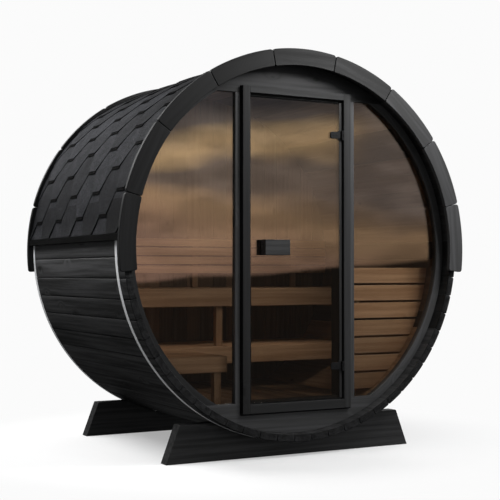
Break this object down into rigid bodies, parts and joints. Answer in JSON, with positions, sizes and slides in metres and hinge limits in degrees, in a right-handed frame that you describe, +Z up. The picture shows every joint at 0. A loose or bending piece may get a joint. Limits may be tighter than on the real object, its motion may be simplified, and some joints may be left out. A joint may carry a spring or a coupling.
{
  "type": "barrel sauna",
  "caption": "Barrel-shaped wooden sauna on cradles, with a glazed front, a hinged glass door, benches and a shingle roof.",
  "frame": {"origin": "on the ground under the centre of the barrel's overall box", "axes": "+Z up, +Y from the glazed front to the rear wall, +X to the right seen from the front"},
  "size_m": [2.166, 1.5, 2.2148],
  "materials": {
    "black_stained_wood": "black stain, satin, grain and knots show",
    "bitumen_shingle": "mineral grit, matt",
    "strap_steel": "light grey, satin",
    "inner_wood": "planed, untreated",
    "bronze_glass": "clear bronze tint",
    "black_hardware": "black, satin",
    "handle_wood": "black stain, satin"
  },
  "bodies": {
    "cabin": {"barrel_wall_01": "black_stained_wood", "barrel_wall_02": "black_stained_wood", "barrel_wall_03": "black_stained_wood", "barrel_wall_04": "black_stained_wood", "barrel_wall_05": "black_stained_wood", "barrel_wall_06": "black_stained_wood", "barrel_wall_07": "black_stained_wood", "barrel_wall_08": "black_stained_wood", "barrel_wall_09": "black_stained_wood", "barrel_wall_10": "black_stained_wood", "barrel_wall_11": "black_stained_wood", "barrel_wall_12": "black_stained_wood", "roof_left": "bitumen_shingle", "roof_right": "bitumen_shingle", "eave_battens": "black_stained_wood", "front_fascia": "black_stained_wood", "rear_fascia": "black_stained_wood", "front_cradle": "black_stained_wood", "rear_cradle": "black_stained_wood", "front_panel_top": "black_stained_wood", "front_panel_bottom": "black_stained_wood", "ring_left": "black_stained_wood", "ring_right": "black_stained_wood", "mullions": "black_stained_wood", "rear_wall": "black_stained_wood", "door_jamb_left": "black_stained_wood", "door_jamb_right": "black_stained_wood", "door_head": "black_stained_wood", "door_sill": "black_stained_wood", "front_strap": "strap_steel", "rear_strap": "strap_steel", "window_left": "bronze_glass", "window_right": "bronze_glass", "hinge_brackets": "black_hardware", "floor": "inner_wood", "upper_bench_seat": "inner_wood", "upper_bench_board": "inner_wood", "upper_bench_post": "inner_wood", "lower_bench_seat": "inner_wood", "lower_bench_board": "inner_wood", "side_bench_seat": "inner_wood", "side_bench_board": "inner_wood", "side_bench_leg": "inner_wood", "backrest_slats": "inner_wood", "backrest_bearers": "inner_wood", "guard_boards": "inner_wood", "guard_post": "black_stained_wood"},
    "door": {"door_glass": "bronze_glass", "door_handle": "handle_wood", "hinge_leaves": "black_hardware"}
  },
  "joints": [
    {"name": "door_hinge", "type": "hinge", "parent": "cabin", "child": "door", "pos_m": [0.289, -0.671, 1.132], "axis": [0, 0, 1], "range_deg": [0, 110]}
  ]
}
